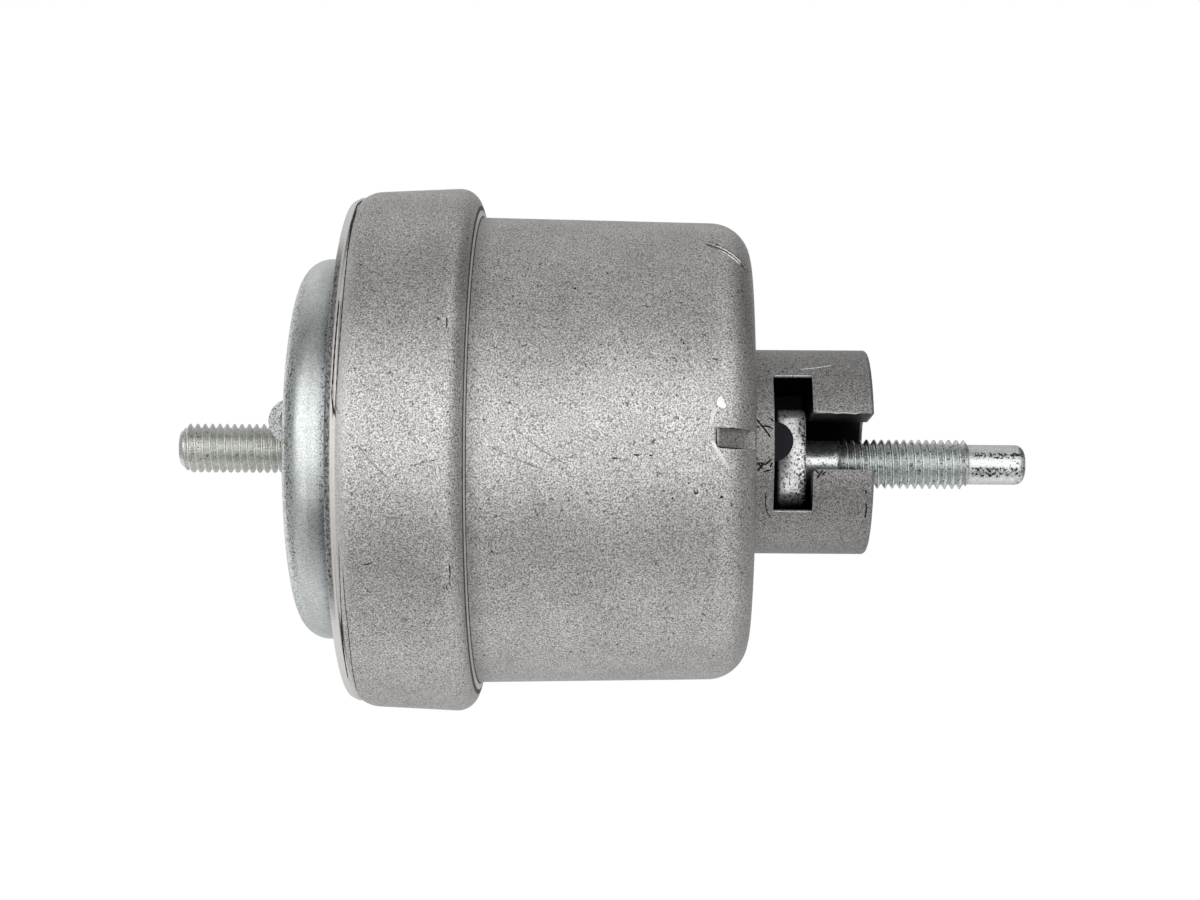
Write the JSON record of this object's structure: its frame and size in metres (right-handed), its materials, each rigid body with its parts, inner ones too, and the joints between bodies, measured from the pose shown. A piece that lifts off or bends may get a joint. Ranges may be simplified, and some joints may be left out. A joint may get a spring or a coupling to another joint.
{
  "type": "hydraulic engine mount",
  "caption": "Round fluid-filled engine mount: aluminium housing rolled over a steel pan with a lower stud, and a sprung core whose T-slot foot holds a T-headed bolt.",
  "frame": {"origin": "centre of the bottom pan's outer seat face, where the lower stud comes out", "axes": "+Z along the mount's axis from the pan to the foot, -Z out along the lower stud, -Y out of the mouth of the T-slot"},
  "size_m": [0.105, 0.105, 0.1705],
  "materials": {
    "cast_aluminium": "matt blasted casting, slightly warm grey, faint scratches",
    "core_aluminium": "darker matt casting with rubber flash marks",
    "plate_aluminium": "plain die casting",
    "zinc_pan": "clear zinc plating, satin with a slight green tint",
    "zinc_screw": "clear zinc plating, bright on the crests of the thread",
    "ring_steel": "phosphated steel",
    "rubber": "black moulded rubber"
  },
  "bodies": {
    "case": {"housing": "cast_aluminium", "cover_pan": "zinc_pan", "cover_stud": "zinc_screw", "bellows": "rubber", "bellows_ring": "zinc_pan", "channel_plate_lower": "plate_aluminium", "channel_plate_upper": "plate_aluminium", "plate_rivets": "plate_aluminium", "decoupler_disc": "rubber", "seal_ring": "rubber", "spring_ring": "ring_steel", "main_spring": "rubber"},
    "core": {"inner_core": "core_aluminium", "rebound_buffer": "rubber", "bolt_retainer": "rubber", "t_bolt": "zinc_screw"}
  },
  "joints": [
    {"name": "core_bounce", "type": "slide", "parent": "case", "child": "core", "axis": [0, 0, 1], "range_m": [-0.006, 0.004], "stiffness_N_per_m": 60000, "deforming": ["main_spring"]}
  ]
}
